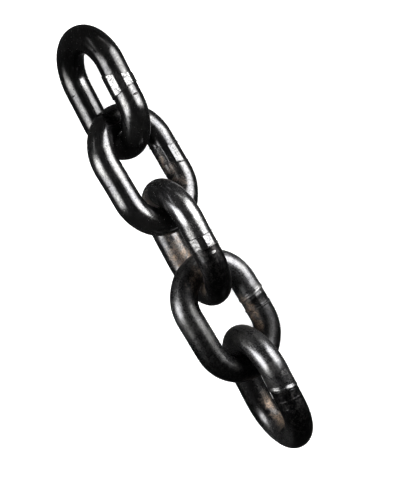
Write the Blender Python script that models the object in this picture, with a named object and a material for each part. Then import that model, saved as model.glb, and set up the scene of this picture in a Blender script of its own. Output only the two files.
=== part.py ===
"""Five links of welded short-link steel chain, pulled straight and laid on a level floor.

Each link is one round bar bent to a loop and butt welded in the middle of one leg, where a low
collar of upset metal stays. Neighbouring links lean to opposite sides and meet crown to crown.
The chain runs along X from link_1 to link_5, its box is centred on the origin in X and Y, and
the floor is Z = 0. link_2, link_3 and link_5 lie on their lower legs, link_1 droops from link_2
until its free end touches the floor, and link_4 hangs between its neighbours just clear of it.
"""

import math

import bpy
from mathutils import Matrix, Vector

# Driving sizes of one link, in metres
BAR_DIAMETER = 0.013
INSIDE_LENGTH = 0.040
OUTSIDE_WIDTH = 0.0485
WELD_LENGTH = 0.0075
WELD_RISE = 0.0005
WELD_STEP = 0.0004
SEAT_GAP = 0.0005

# Fineness of the mesh
BAR_SIDES = 20
CROWN_STEPS = 18

# Blackened steel
STEEL_COLOUR = (0.030, 0.030, 0.032, 1.0)
STEEL_METALLIC = 0.9
STEEL_ROUGHNESS = 0.3

BAR_RADIUS = BAR_DIAMETER / 2
CROWN_RADIUS = (OUTSIDE_WIDTH - BAR_DIAMETER) / 2
LEG_LENGTH = INSIDE_LENGTH + BAR_DIAMETER - 2 * CROWN_RADIUS
CROWN_TIP = LEG_LENGTH / 2 + CROWN_RADIUS
FACET_ANGLE = 2 * math.pi / BAR_SIDES
FLAT_SHARE = math.cos(FACET_ANGLE / 2)

# A link on its plain leg leans by REST_LEAN, and that sets the height of the chain's middle line.
# A link on its welded leg has the collar under it, so it leans a little less.
REST_LEAN = 55.5
LINE_HEIGHT = CROWN_RADIUS * math.sin(math.radians(REST_LEAN)) + BAR_RADIUS * FLAT_SHARE
WELD_REST_SINE = (LINE_HEIGHT - (BAR_RADIUS + WELD_RISE) * FLAT_SHARE) / CROWN_RADIUS
WELD_REST_LEAN = math.degrees(math.asin(WELD_REST_SINE))

# How each link lies, in degrees: its lean about its own length, its turn about the vertical, and
# how far its free end droops. A link that leans by a positive angle has its welded leg on top.
LAY = (
    (44.5, -1.0, 3.5),
    (-WELD_REST_LEAN, 1.8, 0.0),
    (REST_LEAN, -1.0, 0.0),
    (-44.0, 1.8, 0.0),
    (REST_LEAN, -1.6, 0.0),
)


def clear_scene():
    for item in list(bpy.data.objects):
        bpy.data.objects.remove(item, do_unlink=True)


def crown_points(side):
    """Centreline of one rounded end, from one leg to the other, going anticlockwise."""
    start = -math.pi / 2 if side > 0 else math.pi / 2
    centre = Vector((side * LEG_LENGTH / 2, 0.0, 0.0))
    angles = [start + math.pi * step / CROWN_STEPS for step in range(CROWN_STEPS + 1)]
    return [centre + CROWN_RADIUS * Vector((math.cos(a), math.sin(a), 0.0)) for a in angles]


def link_outline():
    """The closed centreline, with the bar's radius at each point as a share of its own.

    The four points between the two crowns raise the weld collar on the leg at +Y.
    """
    outer = WELD_LENGTH / 2
    inner = outer - WELD_STEP
    thick = 1.0 + WELD_RISE / BAR_RADIUS
    places = ((outer, 1.0), (inner, thick), (-inner, thick), (-outer, 1.0))
    weld = [(Vector((x, CROWN_RADIUS, 0.0)), share) for x, share in places]
    far_end = [(point, 1.0) for point in crown_points(1)]
    near_end = [(point, 1.0) for point in crown_points(-1)]
    return far_end + weld + near_end


def lying(lean, turn, droop):
    """Rotation of a link: X along the link, Z square to its loop."""
    turned = Matrix.Rotation(math.radians(turn), 4, "Z")
    drooped = Matrix.Rotation(math.radians(-droop), 4, "Y")
    return turned @ drooped @ Matrix.Rotation(math.radians(lean), 4, "X")


def chain_frames():
    """World matrix of each link's middle, with the chain's box centred on the origin."""
    tip = Vector((0.0, 0.0, LINE_HEIGHT))
    frames = [Matrix.Translation(tip) @ lying(*LAY[0]) @ Matrix.Translation((-CROWN_TIP, 0.0, 0.0))]
    tip_to_middle = CROWN_TIP - BAR_DIAMETER - SEAT_GAP
    for lay in LAY[1:]:
        frames.append(Matrix.Translation(tip) @ lying(*lay) @ Matrix.Translation((tip_to_middle, 0.0, 0.0)))
        tip = frames[-1] @ Vector((CROWN_TIP, 0.0, 0.0))
    bars = [(frame @ point, share * BAR_RADIUS) for frame in frames for point, share in link_outline()]
    highest = [max(point[axis] + radius for point, radius in bars) for axis in (0, 1)]
    lowest = [min(point[axis] - radius for point, radius in bars) for axis in (0, 1)]
    middle = [(high + low) / 2 for high, low in zip(highest, lowest)]
    to_centre = Matrix.Translation((-middle[0], -middle[1], 0.0))
    return [to_centre @ frame for frame in frames]


def steel():
    material = bpy.data.materials.new("blackened_steel")
    material.use_nodes = True
    shader = material.node_tree.nodes["Principled BSDF"]
    shader.inputs["Base Color"].default_value = STEEL_COLOUR
    shader.inputs["Metallic"].default_value = STEEL_METALLIC
    shader.inputs["Roughness"].default_value = STEEL_ROUGHNESS
    return material


def add_link(name, frame, pivot, lean, material):
    """One link as a closed tube, with its origin at pivot and one flat of its lower leg facing down."""
    curve = bpy.data.curves.new(name, "CURVE")
    curve.dimensions = "3D"
    curve.twist_mode = "Z_UP"
    curve.bevel_depth = BAR_RADIUS
    curve.bevel_resolution = (BAR_SIDES - 4) // 2
    curve.materials.append(material)
    outline = link_outline()
    spline = curve.splines.new("POLY")
    spline.points.add(len(outline) - 1)
    spline.use_cyclic_u = True
    spline.use_smooth = True
    for point, (place, share) in zip(spline.points, outline):
        point.co = (*(place - pivot), 1.0)
        point.radius = share
        point.tilt = FACET_ANGLE / 2 - math.radians(abs(lean))
    link = bpy.data.objects.new(name, curve)
    link.location = frame @ pivot
    link.rotation_euler = frame.to_euler()
    return link


def build_chain():
    """Each link after the first turns about the far crown of the one before, which carries it."""
    clear_scene()
    collection = bpy.data.collections.new("welded_link_chain")
    bpy.context.scene.collection.children.link(collection)
    material = steel()
    carrier = None
    for number, (frame, lay) in enumerate(zip(chain_frames(), LAY), start=1):
        pivot = Vector((0.0, 0.0, 0.0))
        if carrier:
            pivot.x = BAR_DIAMETER + SEAT_GAP - CROWN_TIP
        link = add_link(f"link_{number}", frame, pivot, lay[0], material)
        collection.objects.link(link)
        bpy.context.view_layer.update()
        if carrier:
            link.parent = carrier
            link.matrix_parent_inverse = carrier.matrix_world.inverted()
        carrier = link


build_chain()
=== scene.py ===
import math

import bpy
import numpy as np
from mathutils import Matrix, Vector


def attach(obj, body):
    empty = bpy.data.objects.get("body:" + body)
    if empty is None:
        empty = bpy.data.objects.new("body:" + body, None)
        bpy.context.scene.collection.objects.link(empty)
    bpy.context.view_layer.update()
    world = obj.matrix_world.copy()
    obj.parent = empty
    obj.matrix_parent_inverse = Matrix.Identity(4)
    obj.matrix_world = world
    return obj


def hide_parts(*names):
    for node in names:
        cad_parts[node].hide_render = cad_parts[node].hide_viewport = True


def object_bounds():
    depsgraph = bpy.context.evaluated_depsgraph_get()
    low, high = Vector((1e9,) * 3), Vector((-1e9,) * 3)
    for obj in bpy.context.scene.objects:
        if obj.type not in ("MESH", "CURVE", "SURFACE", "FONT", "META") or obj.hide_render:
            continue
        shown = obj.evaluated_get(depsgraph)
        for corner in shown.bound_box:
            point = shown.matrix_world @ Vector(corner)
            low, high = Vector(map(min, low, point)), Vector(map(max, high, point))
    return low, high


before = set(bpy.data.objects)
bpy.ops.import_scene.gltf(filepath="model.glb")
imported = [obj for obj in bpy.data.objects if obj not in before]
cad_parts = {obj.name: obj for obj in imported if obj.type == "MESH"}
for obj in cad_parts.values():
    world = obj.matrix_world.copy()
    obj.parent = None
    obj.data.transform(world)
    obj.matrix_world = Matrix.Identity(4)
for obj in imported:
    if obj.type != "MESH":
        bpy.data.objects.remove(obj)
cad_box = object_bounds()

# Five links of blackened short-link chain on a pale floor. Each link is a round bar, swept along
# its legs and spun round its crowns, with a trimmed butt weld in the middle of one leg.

# Sizes of one link, in metres, as in the part
BAR_DIAMETER = 0.013
INSIDE_LENGTH = 0.040
OUTSIDE_WIDTH = 0.0485
SEAT_GAP = 0.0005
WELD_RISE = 0.0005
BAR_SIDES_IN_PART = 20

BAR_RADIUS = BAR_DIAMETER / 2
CROWN_RADIUS = (OUTSIDE_WIDTH - BAR_DIAMETER) / 2
LEG_LENGTH = INSIDE_LENGTH + BAR_DIAMETER - 2 * CROWN_RADIUS
LEG_END = LEG_LENGTH / 2
CROWN_TIP = LEG_END + CROWN_RADIUS
LOOP_LENGTH = 2 * LEG_LENGTH + 2 * math.pi * CROWN_RADIUS
FLAT_SHARE = math.cos(math.pi / BAR_SIDES_IN_PART)

# How each link lies, in degrees: its lean about its own length, its turn, and the droop of its
# free end. A link that leans by a positive angle has its welded leg on top.
REST_LEAN = 55.5
LINE_HEIGHT = CROWN_RADIUS * math.sin(math.radians(REST_LEAN)) + BAR_RADIUS * FLAT_SHARE
WELD_REST_SINE = (LINE_HEIGHT - (BAR_RADIUS + WELD_RISE) * FLAT_SHARE) / CROWN_RADIUS
WELD_REST_LEAN = math.degrees(math.asin(WELD_REST_SINE))
LAY = (
    (44.5, -1.0, 3.5),
    (-WELD_REST_LEAN, 1.8, 0.0),
    (REST_LEAN, -1.0, 0.0),
    (-44.0, 1.8, 0.0),
    (REST_LEAN, -1.6, 0.0),
)

# The round bar here lies between the flats and the corners of the part's 20-sided one.
ROUND_RADIUS = 0.00646
BAR_SIDES = 96
CROWN_STEPS = 88
PLAIN_LEG_STEPS = 24

# Rings of the welded leg that the weld is shaped from, and the number of steps between each two.
# Each edge of the weld has six: as shares of its bead's width, how far each lies from the edge's
# line, and as shares of its rise, how high it stands. The last two stand at the band's height.
EDGE_RINGS = 6
EDGE_SPACING = 0.0002
UPPER_START, LOWER_START = -0.0050, 0.0040
WELD_RINGS = (
    -LEG_END,
    *(UPPER_START + EDGE_SPACING * step for step in range(EDGE_RINGS)),
    *(LOWER_START + EDGE_SPACING * step for step in range(EDGE_RINGS)),
    LEG_END,
)
RING_STEPS = (12, 2, 2, 2, 2, 2, 22, 2, 2, 2, 2, 2, 12)
BEAD = ((-1.0, 0.0), (-0.78, 0.55), (-0.52, 0.95), (-0.26, 0.95), (-0.02, None), (0.2, None))
# Points nearer than this are one, and how near a ring's points are to it, along the bar and across
MERGE_DISTANCE = 0.00002
NEAR_ALONG = 0.00001
NEAR_ACROSS = 0.0001

# The trimmed weld of each link: where its upper and lower edges cross the side that faces up, how
# far each edge is slewed in degrees, and the width and rise of the bead along it; how high the band
# between them stands, the way that the first of its flats faces, how much of a bead's rise is left
# at the sides of the bar, and how deep the flash is.
FLATS = 12
FLAT_UNEVENNESS = 0.00007
UNEVEN_STEP = 2.4
WELDS = (
    {"up": (-0.0026, 18.0, 0.0005, 0.00028), "down": (0.0044, -13.0, 0.0007, 0.00050),
     "band": 0.00050, "facing": 33.0, "sides": 1.0, "flash": 0.00008},
    {"up": (-0.0042, 16.0, 0.0006, 0.00042), "down": (0.0041, 20.0, 0.0008, 0.00020),
     "band": 0.00015, "facing": 131.0, "sides": 1.0, "flash": 0.00012},
    {"up": (-0.0017, 3.0, 0.0006, 0.00050), "down": (0.0036, 2.0, 0.0007, 0.00055),
     "band": 0.00022, "facing": 22.0, "sides": 0.5, "flash": 0.00010},
    {"up": (-0.0010, -8.0, 0.0019, 0.00058), "down": (0.0046, 2.0, 0.0013, 0.00060),
     "band": 0.00004, "facing": 122.0, "sides": 0.4, "flash": 0.00012},
    {"up": (-0.0004, 13.0, 0.0021, 0.00052), "down": (0.0042, 5.0, 0.0014, 0.00012),
     "band": 0.00010, "facing": 23.0, "sides": 0.4, "flash": 0.00022},
)

# Patches on each link, as the middle and half length along the bar in millimetres, counted from
# the weld towards the next link, the middle and half width round it in degrees, counted from the
# outside of the loop towards its upper face, and a strength. Bloom is brown rust.
MM_PER_METRE = 1000
BLOOM = (
    (),
    ((5, 9, 168, 34, 0.62), (15, 6, 165, 34, 0.60), (17, 7, 128, 28, 0.45), (36, 8, 165, 60, 0.45),
     (60, 8, 145, 36, 0.40)),
    ((67, 12, 178, 50, 1.0), (78, 8, 175, 42, 0.6), (28, 10, 150, 48, 1.15), (20, 9, 135, 45, 0.75),
     (106, 8, 100, 60, 0.65)),
    ((5, 8, 165, 30, 0.8), (14, 6, 160, 30, 0.6), (100, 9, 110, 60, 0.45), (86, 8, 150, 30, 0.30)),
    ((46, 12, 195, 34, 1.0), (61, 8, 188, 30, 0.60), (36, 8, 165, 32, 0.55), (101, 8, 85, 55, 0.30)),
)
# Soot is matt black scale. The last patch of links 1, 2 and 4 and the third of link 5 are painted shade:
# black laid where the steel lies in shade by the next link, or where its reflection should be dark.
SOOT_AND_PAINTED_SHADE = (
    ((2.8, 1.5, 15, 4.5, 1.3), (8.7, 0.35, 0, 9, 1.3), (79.0, 0.25, 114, 9, 0.8), (89, 6, -138, 28, 0.60)),
    ((74.5, 0.25, 12, 12, 1.0), (106, 5, 76, 26, 0.95)),
    ((19, 20, -15, 85, 0.85),),
    ((14, 20, 90, 170, 0.42), (16, 18, 25, 35, 0.85), (40, 24, 0, 150, 0.55), (62, 12, 180, 120, 0.30),
     (1.8, 1.9, 75, 90, 0.85), (101, 15, 92, 44, 0.65)),
    ((22, 30, -20, 75, 1.0), (5, 9, 60, 110, 1.0), (70, 11, 55, 60, 0.95), (57, 6, 190, 34, 0.45)),
)
# Bare nicks in the soot
NICKS = ((), (), ((6.9, 0.45, 0, 11, 1.8),), (), ((9.5, 0.5, 30, 7, 1.5), (7.8, 0.4, 52, 6, 1.5)))
# Where a link's soot starts: at the upper or the lower edge of its weld
SOOT_START = (None, None, "down", None, "up")
# How bright each link's bare steel is, in part painted shade, and patches where it is brighter: painted
# highlights
REFLECTANCE_AND_PAINTED_HIGHLIGHTS = (
    (0.42, ((10, 14, 40, 120, 0.62), (17, 9, 60, 60, 0.90), (73, 30, 0, 300, 0.22), (138, 22, 0, 300, 0.22),
            (84, 3, 175, 20, 1.10))),
    (1.08, ((56, 12, 60, 200, 0.25),)),
    (1.1, ((120, 32, 0, 300, 1.15), (110, 10, 10, 60, 1.90))),
    (0.45, ((124, 24, 0, 300, 1.6), (84, 8, 20, 80, 0.4), (70, 14, 140, 24, 0.8),
            (92, 14, 0, 48, 1.1), (-2.1, 0.8, 90, 90, 1.6), (5.4, 0.6, 60, 30, 1.6))),
    (0.62, ((120, 25, -10, 200, 1.25), (44, 8, 50, 80, 1.7), (26, 7, 75, 55, 1.2), (108, 8, -20, 60, 2.2))),
)
# How much rougher each link is than the rest, or smoother below nothing, and how much more so where
# highlights are painted
HAZE = ((-0.07, 0.0), (-0.05, 0.0), (-0.055, 0.03), (0.03, 0.05), (0.0, 0.045))

# Unevenness of the surface: the size of its lumps and its depth. Its pattern fills space, and each
# link is moved along by this spacing times its number while it is worked in.
FORGED = (0.011, 0.00022)
HAMMERED = (0.0035, 0.00005)
FLASH_SIZE = 0.0016
LINK_SPACING = 0.3
# Half the length of bar that has flash, and the length over which it fades
FLASH_REACH = 0.0062
FLASH_FADE = 0.0016
# Over what length soot starts at a weld's edge
SOOT_EDGE = 0.0004
# How high above the round bar the weld's bare metal starts to show, and how much higher it is full
BARE_START = 0.00012
BARE_RISE = 0.00025
SMOOTH_ANGLE = 35.0

# Colours of the finish
DARK_STEEL = (0.056, 0.056, 0.058, 1)
LIGHT_STEEL = (0.084, 0.083, 0.081, 1)
BARE_STEEL = (0.145, 0.145, 0.143, 1)
# The soot's black, which also serves as painted shade
BLACK_SOOT_AND_PAINTED_SHADE = (0.0035, 0.0035, 0.0038, 1)
GREY_CRUST = (0.024, 0.023, 0.0225, 1)
PIT_GREY = (0.02, 0.019, 0.018, 1)
DULL_RUST = (0.094, 0.085, 0.078, 1)
WARM_RUST = (0.160, 0.113, 0.078, 1)
RUST_SPECK = (0.020, 0.015, 0.012, 1)
# How fine its patterns are, per metre, and how deep its relief is; streaks and scratches run along
# the bar
SMUDGE_SCALE = 95.0
MOTTLE_SCALE = 420.0
GRAIN_SCALE = 1300.0
PIT_SCALE = 850.0
STREAK_SCALES = (70.0, 1100.0, 1100.0)
SCRATCH_SCALES = (25.0, 420.0, 420.0)
RELIEF = 0.00006

# The camera: its lens and film in millimetres, its place, and the ways its right and back face
CAMERA_LENS = 81.74
FILM_WIDTH = 36.0
CAMERA_NEAR = 0.01
CAMERA_PLACE = (-0.05574, 0.1186, 0.51385)
CAMERA_RIGHT = (0.480132, 0.866563, -0.136165)
CAMERA_BACK = (-0.115974, 0.216574, 0.969353)

# The soft boxes: the angle from straight up towards +Y, the place along the chain, the width along
# it, the height, the radiance, and how far from its middle the light is full, each way. Each has a
# dim narrow strip light beyond its far end.
BOX_DISTANCE = 0.65
BOX_AIM_HEIGHT = 0.02
SOFT_BOXES = (
    ("soft_box_left", -43.0, -0.150, 0.57, 0.89, 13.5, (0.13, 0.06)),
    ("soft_box_right", 79.0, -0.165, 0.68, 0.93, 14.5, (0.33, 0.08)),
    ("strip_left", -41.0, -0.85, 1.00, 0.16, 2.2, (0.20, 0.10)),
    ("strip_right", 78.0, -0.98, 1.00, 0.16, 2.6, (0.20, 0.10)),
)
# The dark room's light at its two ends along the chain, and right below
ROOM_LIGHT = (0.055, 0.030)
LIGHT_FROM_BELOW = 0.12
FILL_HEIGHT = 1.5
FILL_SIZE = 2.4
FILL_POWER = 20.0

WHITE = (1.0, 1.0, 1.0, 1.0)
FLOOR_SIZE = 6.0
FLOOR_DROP = 0.00005
FLOOR_COLOUR = (0.9, 0.9, 0.9, 1.0)
FLOOR_GLOW = 0.45

# A colour mix's sockets: its share, its two colours and its result
MIX_SHARE, MIX_FIRST, MIX_SECOND = 0, 6, 7
MIX_RESULT = 2


class Wire:
    """A node's output, with the sums that the finish and the lights are written in."""

    def __init__(self, tree, socket=None):
        self.tree = tree
        self.socket = socket

    def node(self, kind, settings=None, inputs=None, output=0):
        made = self.tree.nodes.new(kind)
        for name, value in (settings or {}).items():
            setattr(made, name, value)
        for name, value in (inputs or {}).items():
            if isinstance(value, Wire):
                self.tree.links.new(value.socket, made.inputs[name])
            else:
                made.inputs[name].default_value = value
        return Wire(self.tree, made.outputs[output]) if made.outputs else made

    def maths(self, operation, *values):
        return self.node("ShaderNodeMath", {"operation": operation}, dict(enumerate(values)))

    def __add__(self, other):
        return self.maths("ADD", self, other)

    def __sub__(self, other):
        return self.maths("SUBTRACT", self, other)

    def __mul__(self, other):
        return self.maths("MULTIPLY", self, other)

    def __rsub__(self, other):
        return self.maths("SUBTRACT", other, self)

    __radd__ = __add__
    __rmul__ = __mul__

    def least(self, other):
        return self.maths("MINIMUM", self, other)

    def most(self, other):
        return self.maths("MAXIMUM", self, other)

    def size(self):
        return self.maths("ABSOLUTE", self)

    def ramp(self, low, high, start=0.0, end=1.0):
        """Smoothly from start, where this is low, to end, where it is high."""
        return self.node(
            "ShaderNodeMapRange",
            {"interpolation_type": "SMOOTHSTEP"},
            {"Value": self, "From Min": low, "From Max": high, "To Min": start, "To Max": end},
        )

    def noise(self, place, scale, detail, roughness):
        return self.node(
            "ShaderNodeTexNoise",
            {"noise_dimensions": "3D"},
            {"Vector": place, "Scale": scale, "Detail": detail, "Roughness": roughness},
        )

    def attribute(self, name, output="Fac"):
        return self.node("ShaderNodeAttribute", {"attribute_name": name}, output=output)

    def stretched(self, place, scale):
        return self.node("ShaderNodeVectorMath", {"operation": "MULTIPLY"}, {0: place, 1: scale})

    def colour(self, share, first, second):
        """The first colour, changed to the second by share."""
        return self.node(
            "ShaderNodeMix",
            {"data_type": "RGBA"},
            {MIX_SHARE: share, MIX_FIRST: first, MIX_SECOND: second},
            output=MIX_RESULT,
        )


def set_camera():
    camera = bpy.data.objects.new("camera", bpy.data.cameras.new("camera"))
    bpy.context.scene.collection.objects.link(camera)
    camera.data.sensor_fit = "AUTO"
    camera.data.sensor_width = FILM_WIDTH
    camera.data.lens = CAMERA_LENS
    camera.data.clip_start = CAMERA_NEAR
    right = Vector(CAMERA_RIGHT).normalized()
    back = Vector(CAMERA_BACK).normalized()
    up = back.cross(right).normalized()
    right = up.cross(back)
    turned = Matrix((right, up, back)).transposed().to_4x4()
    camera.matrix_world = Matrix.Translation(CAMERA_PLACE) @ turned
    bpy.context.scene.camera = camera


def soft_box(name, centre, angle, width, height, radiance, core):
    """A soft box whose light fades towards its edges, turned towards the chain."""
    light = bpy.data.lights.new(name, "AREA")
    light.shape = "RECTANGLE"
    light.size = width
    light.size_y = height
    light.energy = math.pi * width * height
    light.use_nodes = True
    tree = light.node_tree
    tree.nodes.clear()
    start = Wire(tree)
    place = start.node("ShaderNodeNewGeometry", output="Parametric")
    share = 1.0
    for axis, full in zip("XY", core):
        across = start.node("ShaderNodeSeparateXYZ", inputs={0: place}, output=axis)
        share = (across - 0.5).size().ramp(full, 0.5, 1.0, 0.0) * share
    glow = start.node("ShaderNodeEmission", inputs={"Strength": share * radiance})
    start.node("ShaderNodeOutputLight", inputs={"Surface": glow})
    lamp = bpy.data.objects.new(name, light)
    bpy.context.scene.collection.objects.link(lamp)
    lamp.matrix_world = Matrix.Translation(centre) @ Matrix.Rotation(math.radians(angle), 4, "X")
    lamp.visible_camera = False


def light_studio():
    """Soft boxes and strips along both sides of the chain, and a dim ceiling, in a dark room."""
    for name, angle, place, width, height, radiance, core in SOFT_BOXES:
        reach = Vector((0.0, math.sin(math.radians(angle)), math.cos(math.radians(angle))))
        centre = reach * BOX_DISTANCE + Vector((place, 0.0, BOX_AIM_HEIGHT))
        soft_box(name, centre, -angle, width, height, radiance, core)
    fill = bpy.data.lights.new("ceiling", "AREA")
    fill.size = FILL_SIZE
    fill.energy = FILL_POWER
    lamp = bpy.data.objects.new("ceiling", fill)
    lamp.location = (0.0, 0.0, FILL_HEIGHT)
    lamp.visible_glossy = False
    lamp.visible_camera = False
    bpy.context.scene.collection.objects.link(lamp)
    world = bpy.data.worlds.new("studio")
    bpy.context.scene.world = world
    world.use_nodes = True
    tree = world.node_tree
    tree.nodes.clear()
    start = Wire(tree)
    towards = start.node("ShaderNodeTexCoord", output="Generated")
    along = start.node("ShaderNodeSeparateXYZ", inputs={0: towards}, output="X")
    height = start.node("ShaderNodeSeparateXYZ", inputs={0: towards}, output="Z")
    under = height.ramp(-0.99, -0.90, LIGHT_FROM_BELOW, 0.0)
    room = along.ramp(-0.9, 0.4, *ROOM_LIGHT)
    seen = start.node("ShaderNodeLightPath", output="Is Camera Ray")
    strength = seen + (under + room) * (1 - seen)
    background = start.node("ShaderNodeBackground", inputs={"Color": WHITE, "Strength": strength})
    start.node("ShaderNodeOutputWorld", inputs={"Surface": background})


def select_points(piece, points):
    """Only these points of the piece are selected, with what lies between them."""
    mesh = piece.data
    chosen = np.zeros(len(mesh.vertices), bool)
    chosen[list(points)] = True
    ends = np.empty(len(mesh.edges) * 2, np.int32)
    mesh.edges.foreach_get("vertices", ends)
    mesh.vertices.foreach_set("select", chosen)
    mesh.edges.foreach_set("select", chosen[ends].reshape(-1, 2).all(axis=1))
    mesh.polygons.foreach_set("select", np.zeros(len(mesh.polygons), bool))


def select_between(piece, first, second):
    """Only the edges that run from the first points to the second are selected."""
    mesh = piece.data
    side = np.zeros(len(mesh.vertices), np.int8)
    side[first] = 1
    side[second] = 2
    ends = np.empty(len(mesh.edges) * 2, np.int32)
    mesh.edges.foreach_get("vertices", ends)
    sides = side[ends].reshape(-1, 2)
    mesh.vertices.foreach_set("select", side > 0)
    mesh.edges.foreach_set("select", (sides.min(axis=1) == 1) & (sides.max(axis=1) == 2))
    mesh.polygons.foreach_set("select", np.zeros(len(mesh.polygons), bool))


def only(piece):
    bpy.ops.object.select_all(action="DESELECT")
    piece.select_set(True)
    bpy.context.view_layer.objects.active = piece


def sweep(length):
    bpy.ops.mesh.extrude_region_move(TRANSFORM_OT_translate={"value": (length, 0.0, 0.0)})


def plain_link():
    """One closed link in its own frame: X along it, the leg to be welded at +Y."""
    bpy.ops.object.select_all(action="DESELECT")
    bpy.ops.mesh.primitive_circle_add(
        vertices=BAR_SIDES,
        radius=ROUND_RADIUS,
        location=(-LEG_END, CROWN_RADIUS, 0.0),
        rotation=(0.0, math.pi / 2, 0.0),
    )
    link = bpy.context.object
    bpy.ops.object.transform_apply(location=True, rotation=True, scale=True)
    bpy.ops.object.mode_set(mode="EDIT")
    bpy.ops.mesh.select_all(action="SELECT")
    for start, end in zip(WELD_RINGS, WELD_RINGS[1:]):
        sweep(end - start)
    turn = {"steps": CROWN_STEPS, "angle": math.pi, "axis": (0.0, 0.0, 1.0)}
    bpy.ops.mesh.spin(center=(LEG_END, 0.0, 0.0), **turn)
    for _ in range(PLAIN_LEG_STEPS):
        sweep(-LEG_LENGTH / PLAIN_LEG_STEPS)
    bpy.ops.mesh.spin(center=(-LEG_END, 0.0, 0.0), **turn)
    bpy.ops.mesh.select_all(action="SELECT")
    bpy.ops.mesh.remove_doubles(threshold=MERGE_DISTANCE)
    bpy.ops.mesh.normals_make_consistent(inside=False)
    bpy.ops.object.mode_set(mode="OBJECT")
    return link


def weld_ring_points(link):
    """The points of each ring of the welded leg."""
    rings = []
    for place in WELD_RINGS:
        rings.append([
            v.index for v in link.data.vertices
            if v.co.y > 0 and abs(v.co.x - place) < NEAR_ALONG
            and abs(math.hypot(v.co.y - CROWN_RADIUS, v.co.z) - ROUND_RADIUS) < NEAR_ACROSS
        ])
    return rings


def place_ring(link, ring, place, slew, view):
    """Moves a ring of the leg to its place, slewed so that it slants as seen from the view side."""
    across = math.radians(view - 90.0)
    slope = math.tan(math.radians(slew))
    for index in ring:
        co = link.data.vertices[index].co
        aside = (co.y - CROWN_RADIUS) * math.cos(across) + co.z * math.sin(across)
        co.x = place + slope * aside


def swell(link, points, rise):
    """Scales points of the leg away from its middle line."""
    share = 1.0 + rise / ROUND_RADIUS
    select_points(link, points)
    bpy.ops.object.mode_set(mode="EDIT")
    bpy.ops.transform.resize(value=(1.0, share, share), center_override=(0.0, CROWN_RADIUS, 0.0))
    bpy.ops.object.mode_set(mode="OBJECT")


def raise_bead(link, ring, rise, facing, sides):
    """Raises a ring of the leg, fully on its facing side and by the sides' share elsewhere."""
    for index in ring:
        co = link.data.vertices[index].co
        angle = math.atan2(co.z, co.y - CROWN_RADIUS)
        front = max(0.0, math.cos(angle - math.radians(facing)))
        share = 1.0 + rise * (sides + (1.0 - sides) * front) / ROUND_RADIUS
        co.y = CROWN_RADIUS + (co.y - CROWN_RADIUS) * share
        co.z *= share


def flatten(link, rings, middle, half_width, height):
    """Presses the points of a band within an angle of its middle on to one plane, as trimming does."""
    facing = Vector((0.0, math.cos(middle), math.sin(middle)))
    chosen = []
    for index in rings:
        co = link.data.vertices[index].co
        angle = math.atan2(co.z, co.y - CROWN_RADIUS)
        off = (angle - middle + math.pi) % (2 * math.pi) - math.pi
        if abs(off) <= half_width:
            chosen.append(index)
    select_points(link, chosen)
    side = Vector((1.0, 0.0, 0.0))
    turned = Matrix((side, facing.cross(side), facing)).transposed()
    centre = Vector((0.0, CROWN_RADIUS, 0.0)) + facing * height
    bpy.ops.object.mode_set(mode="EDIT")
    bpy.ops.transform.resize(
        value=(1.0, 1.0, 0.0),
        orient_type="GLOBAL",
        orient_matrix=turned,
        orient_matrix_type="GLOBAL",
        constraint_axis=(False, False, True),
        center_override=centre,
    )
    bpy.ops.object.mode_set(mode="OBJECT")


def shape_weld(link, weld, seed):
    """Turns the middle of the leg into a trimmed butt weld: a band of flats between two beads."""
    rings = weld_ring_points(link)
    upper = rings[1:1 + EDGE_RINGS]
    lower = rings[:EDGE_RINGS:-1][1:1 + EDGE_RINGS]
    for edge, side, inwards in ((weld["up"], upper, 1), (weld["down"], lower, -1)):
        place, slew, width, rise = edge
        for ring, (share, height) in zip(side, BEAD):
            place_ring(link, ring, place + inwards * share * width, slew, weld["facing"])
            if height is None:
                swell(link, ring, weld["band"])
            else:
                raise_bead(link, ring, height * rise, weld["facing"], weld["sides"])
    band = [index for side in (upper, lower) for ring in side[-2:] for index in ring]
    flat = 2 * math.pi / FLATS
    for number in range(FLATS):
        middle = math.radians(weld["facing"]) + number * flat
        uneven = FLAT_UNEVENNESS * math.sin(number * UNEVEN_STEP + seed)
        height = (ROUND_RADIUS + weld["band"]) * math.cos(flat / 2) + uneven
        flatten(link, band, middle, flat * 0.5, height)
    for number, steps in enumerate(RING_STEPS):
        select_between(link, rings[number], rings[number + 1])
        bpy.context.tool_settings.mesh_select_mode = (False, True, False)
        bpy.ops.object.mode_set(mode="EDIT")
        bpy.ops.mesh.subdivide(number_cuts=steps - 1, smoothness=0.0)
        bpy.ops.object.mode_set(mode="OBJECT")
        bpy.context.tool_settings.mesh_select_mode = (True, False, False)


def roughen(link, name, size, depth, group=""):
    """Works unevenness of a size and depth into the surface."""
    texture = bpy.data.textures.new(name, "CLOUDS")
    texture.noise_scale = size
    texture.noise_depth = 2
    modifier = link.modifiers.new(name, "DISPLACE")
    modifier.texture = texture
    modifier.texture_coords = "LOCAL"
    modifier.strength = depth
    modifier.mid_level = 0.5
    modifier.vertex_group = group
    only(link)
    bpy.ops.object.modifier_apply(modifier=name)


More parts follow.
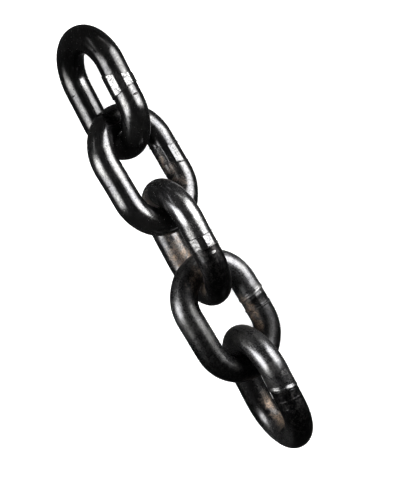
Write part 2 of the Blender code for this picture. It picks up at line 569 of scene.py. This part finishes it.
def bar_places(link):
    """For each point: length along the bar from the weld, angle round it, and height above it."""
    co = np.empty(len(link.data.vertices) * 3, np.float32)
    link.data.vertices.foreach_get("co", co)
    x, y, z = co.reshape(-1, 3).astype(float).T
    on_leg = np.abs(x) <= LEG_END
    turn = np.arctan2(y, np.where(on_leg, 0.0, np.abs(x) - LEG_END))
    out = np.where(on_leg, np.abs(y), np.hypot(np.abs(x) - LEG_END, y)) - CROWN_RADIUS
    crown = (math.pi / 2 - turn) * CROWN_RADIUS
    far_start, far_end = LEG_END, LEG_END + math.pi * CROWN_RADIUS
    near_start = far_end + LEG_LENGTH
    along = np.where(y > 0, x, far_end + LEG_END - x)
    along = np.where(x > LEG_END, far_start + crown, along)
    along = np.where(x < -LEG_END, near_start + math.pi * CROWN_RADIUS - crown, along)
    return along, np.arctan2(z, out), np.hypot(z, out) - ROUND_RADIUS


def fade(reach):
    """One at the middle of a patch, a half at its edge, and nothing at twice its half size."""
    share = np.clip(1.0 - reach / 2, 0, 1)
    return share * share * (3 - 2 * share)


def patches(along, round_it, listed):
    """The strongest of the patches at each point, fading at their edges."""
    total = np.zeros(len(along))
    for middle, half, angle, half_angle, strength in listed:
        off = along - middle / MM_PER_METRE
        off = np.abs((off + LOOP_LENGTH / 2) % LOOP_LENGTH - LOOP_LENGTH / 2)
        aside = np.abs((np.degrees(round_it) - angle + 180) % 360 - 180)
        here = fade(off / (half / MM_PER_METRE)) * fade(aside / half_angle)
        total = np.maximum(total, here * strength)
    return total


def set_values(link, name, values):
    attribute = link.data.attributes.new(name, "FLOAT", "POINT")
    attribute.data.foreach_set("value", np.asarray(values, np.float32))


def chain_frames():
    """How each link lies: the first one's inner end at the origin, each next one on its bar."""
    tip = Vector((0.0, 0.0, LINE_HEIGHT))

    def lying(lean, turn, droop):
        turned = Matrix.Rotation(math.radians(turn), 4, "Z")
        drooped = Matrix.Rotation(math.radians(-droop), 4, "Y")
        return turned @ drooped @ Matrix.Rotation(math.radians(lean), 4, "X")

    frames = [Matrix.Translation(tip) @ lying(*LAY[0]) @ Matrix.Translation((-CROWN_TIP, 0.0, 0.0))]
    tip_to_middle = CROWN_TIP - BAR_DIAMETER - SEAT_GAP
    for lay in LAY[1:]:
        frames.append(Matrix.Translation(tip) @ lying(*lay) @ Matrix.Translation((tip_to_middle, 0.0, 0.0)))
        tip = frames[-1] @ Vector((CROWN_TIP, 0.0, 0.0))
    return frames


def black_steel():
    """Scaled and oiled steel: glossy black, matt where soot and painted shade lie, brown where rust has
    bloomed, brighter where highlights are painted.
    """
    material = bpy.data.materials.new("blackened_steel")
    material.use_nodes = True
    tree = material.node_tree
    tree.nodes.clear()
    start = Wire(tree)
    place = start.node("ShaderNodeTexCoord", output="Object")
    bar_place = start.attribute("bar_place", "Vector")
    bloom = start.attribute("bloom")
    soot_and_painted_shade = start.attribute("soot_and_painted_shade")
    weld = start.attribute("weld")
    polish_and_painted_highlight = start.attribute("polish_and_painted_highlight")
    haze = start.attribute("haze")

    # Patterns, from coarse to fine, and the long ones that run along the bar
    smudge = start.noise(place, SMUDGE_SCALE, 4.0, 0.6)
    mottle = start.noise(place, MOTTLE_SCALE, 3.0, 0.55)
    grain = start.noise(place, GRAIN_SCALE, 2.0, 0.6)
    streak = start.noise(start.stretched(bar_place, STREAK_SCALES), 1.0, 3.0, 0.6)
    scratch = start.noise(start.stretched(bar_place, SCRATCH_SCALES), 1.0, 2.0, 0.5)
    cells = start.node("ShaderNodeTexVoronoi", {"feature": "F1"}, {"Vector": place, "Scale": PIT_SCALE})

    # Where pits, rust, crusted soot, dull soot with its painted shade, and bare metal lie
    pit = cells.ramp(0.16, 0.30, 1.0, 0.0) * mottle.ramp(0.55, 0.65)
    rust = (bloom * 1.25 + (mottle - 0.5) * 0.8 + (smudge - 0.5) * 1.1).ramp(0.30, 1.05)
    crust = (grain * 0.5 + mottle * 0.5).ramp(0.46, 0.62)
    dull_soot_and_painted_shade = (soot_and_painted_shade * 1.3 + (mottle - 0.5) * 0.5).ramp(0.35, 0.65) * (1 - weld * 0.9)
    bare = weld * (grain * 0.55 + mottle * 0.45).ramp(0.38, 0.53)

    # Colour
    steel = start.colour(smudge.ramp(0.35, 0.7), DARK_STEEL, LIGHT_STEEL)
    shade = grain.ramp(0.36, 0.60) * 0.36 + mottle.ramp(0.42, 0.58) * 0.28
    shade = shade + streak.ramp(0.36, 0.60) * 0.16 + scratch.ramp(0.35, 0.65) * 0.20 + 0.40
    # Scaled by the polish attribute, whose patches are painted highlights and whose low values are painted
    # shade
    steel = start.node("ShaderNodeVectorMath", {"operation": "SCALE"}, {0: steel, "Scale": shade * polish_and_painted_highlight})
    steel = start.colour(bare * 0.75, steel, BARE_STEEL)
    # Black soot, which is also painted shade where soot patches stand for shade
    black = start.colour(crust, BLACK_SOOT_AND_PAINTED_SHADE, GREY_CRUST)
    steel = start.colour(dull_soot_and_painted_shade, steel, black)
    steel = start.colour(pit * 0.7, steel, PIT_GREY)
    warmth = (mottle * 0.5 + smudge * 0.5).ramp(0.42, 0.56)
    brown = start.colour(warmth, DULL_RUST, WARM_RUST)
    brown = start.colour(grain.ramp(0.56, 0.42) * 0.8, brown, RUST_SPECK)
    tint = start.colour(rust * 0.9, steel, brown)

    # Gloss and relief
    rough = smudge.ramp(0.35, 0.7, 0.21, 0.29) + (streak - 0.5) * 0.12 + (grain - 0.5) * 0.10
    rough = rough + dull_soot_and_painted_shade * 0.16 + rust * 0.18 + pit * 0.2 + weld * 0.05
    rough = rough + haze.least(0.0) + haze.most(0.0) * grain.ramp(0.38, 0.62, 0.6, 1.4)
    metal = 0.97 - rust * 0.42
    height = mottle * 0.30 + grain * 0.26 + streak * 0.12 - pit * 0.25
    height = height + rust * grain * 0.4 + dull_soot_and_painted_shade * mottle * 0.7 + weld * grain * 0.35
    bump = start.node("ShaderNodeBump", inputs={"Strength": 1.0, "Distance": RELIEF, "Height": height})
    rough = rough.least(0.75).most(0.08)
    surface = start.node(
        "ShaderNodeBsdfPrincipled",
        inputs={"Base Color": tint, "Metallic": metal, "Roughness": rough, "Normal": bump},
    )
    start.node("ShaderNodeOutputMaterial", inputs={"Surface": surface})
    return material


def lay_floor():
    bpy.ops.object.select_all(action="DESELECT")
    bpy.ops.mesh.primitive_plane_add(size=FLOOR_SIZE, location=(0.0, 0.0, -FLOOR_DROP))
    floor = bpy.context.object
    floor.name = "floor"
    floor.visible_glossy = False
    floor.visible_shadow = False
    material = bpy.data.materials.new("pale_floor")
    material.use_nodes = True
    shader = material.node_tree.nodes["Principled BSDF"]
    shader.inputs["Base Color"].default_value = FLOOR_COLOUR
    shader.inputs["Roughness"].default_value = 1.0
    shader.inputs["Specular IOR Level"].default_value = 0.0
    shader.inputs["Emission Color"].default_value = WHITE
    shader.inputs["Emission Strength"].default_value = FLOOR_GLOW
    floor.data.materials.append(material)


def finish_surface(link, number):
    """Unevenness of the forged bar and its weld, and where soot, painted shade, rust and painted highlights
    lie on it.
    """
    along, round_it, standing = bar_places(link)
    weld = WELDS[number - 1]
    reach = np.abs(along - (weld["up"][0] + weld["down"][0]) / 2)
    on_weld = np.clip((FLASH_REACH - reach) / FLASH_FADE, 0, 1)
    clear = 1.0
    if SOOT_START[number - 1]:
        place, slew = weld[SOOT_START[number - 1]][:2]
        aside = ROUND_RADIUS * np.cos(round_it - math.radians(weld["facing"] - 90.0))
        edge = place + math.tan(math.radians(slew)) * aside
        clear = np.clip((along - edge) / SOOT_EDGE, 0, 1)
        clear[along > LEG_END] = 1.0
    group = link.vertex_groups.new(name="weld")
    for index in np.flatnonzero(on_weld > 0):
        group.add([int(index)], float(on_weld[index]), "REPLACE")
    link.data.transform(Matrix.Translation((number * LINK_SPACING, 0.0, 0.0)))
    roughen(link, "forged", *FORGED)
    roughen(link, "hammered", *HAMMERED)
    roughen(link, "flash", FLASH_SIZE, weld["flash"], "weld")
    link.data.transform(Matrix.Translation((-number * LINK_SPACING, 0.0, 0.0)))
    link.vertex_groups.clear()
    set_values(link, "bloom", patches(along, round_it, BLOOM[number - 1]))
    bare = np.clip(1.0 - patches(along, round_it, NICKS[number - 1]), 0, 1)
    # Soot, some of whose patches are painted shade
    set_values(link, "soot_and_painted_shade", patches(along, round_it, SOOT_AND_PAINTED_SHADE[number - 1]) * clear * bare)
    set_values(link, "weld", np.clip((standing - BARE_START) / BARE_RISE, 0, 1))
    # Polish: the link's steel brightness, in part painted shade, with patches of painted highlight
    base, painted_highlight_patches = REFLECTANCE_AND_PAINTED_HIGHLIGHTS[number - 1]
    painted_highlight = patches(along, round_it, painted_highlight_patches)
    set_values(link, "polish_and_painted_highlight", base + painted_highlight)
    haze, haze_where_highlight_painted = HAZE[number - 1]
    set_values(link, "haze", haze + haze_where_highlight_painted * painted_highlight)
    places = np.stack((along, ROUND_RADIUS * np.cos(round_it), ROUND_RADIUS * np.sin(round_it)), axis=1)
    attribute = link.data.attributes.new("bar_place", "FLOAT_VECTOR", "POINT")
    attribute.data.foreach_set("vector", places.astype(np.float32).ravel())


def build_chain():
    steel = black_steel()
    pattern = plain_link()
    frames = chain_frames()
    links = []
    for number, (weld, place) in enumerate(zip(WELDS, frames), start=1):
        link = pattern.copy()
        link.data = pattern.data.copy()
        bpy.context.scene.collection.objects.link(link)
        link.name = f"bar_{number}"
        only(link)
        shape_weld(link, weld, number)
        finish_surface(link, number)
        only(link)
        bpy.ops.object.shade_smooth_by_angle(angle=math.radians(SMOOTH_ANGLE))
        link.matrix_world = place
        bpy.ops.object.transform_apply(location=True, rotation=True, scale=True)
        link.data.materials.clear()
        link.data.materials.append(steel)
        links.append(link)
    bpy.data.objects.remove(pattern)
    low, high = cad_box
    points = [v.co for link in links for v in link.data.vertices]
    middle = [(max(p[axis] for p in points) + min(p[axis] for p in points)) / 2 for axis in (0, 1)]
    shift = Vector(((low.x + high.x) / 2 - middle[0], (low.y + high.y) / 2 - middle[1], 0.0))
    for number, link in enumerate(links, start=1):
        link.data.transform(Matrix.Translation(shift))
        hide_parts(f"link_{number}")
        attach(link, f"link_{number}")


bpy.context.scene.view_settings.view_transform = "Standard"
set_camera()
light_studio()
lay_floor()
build_chain()
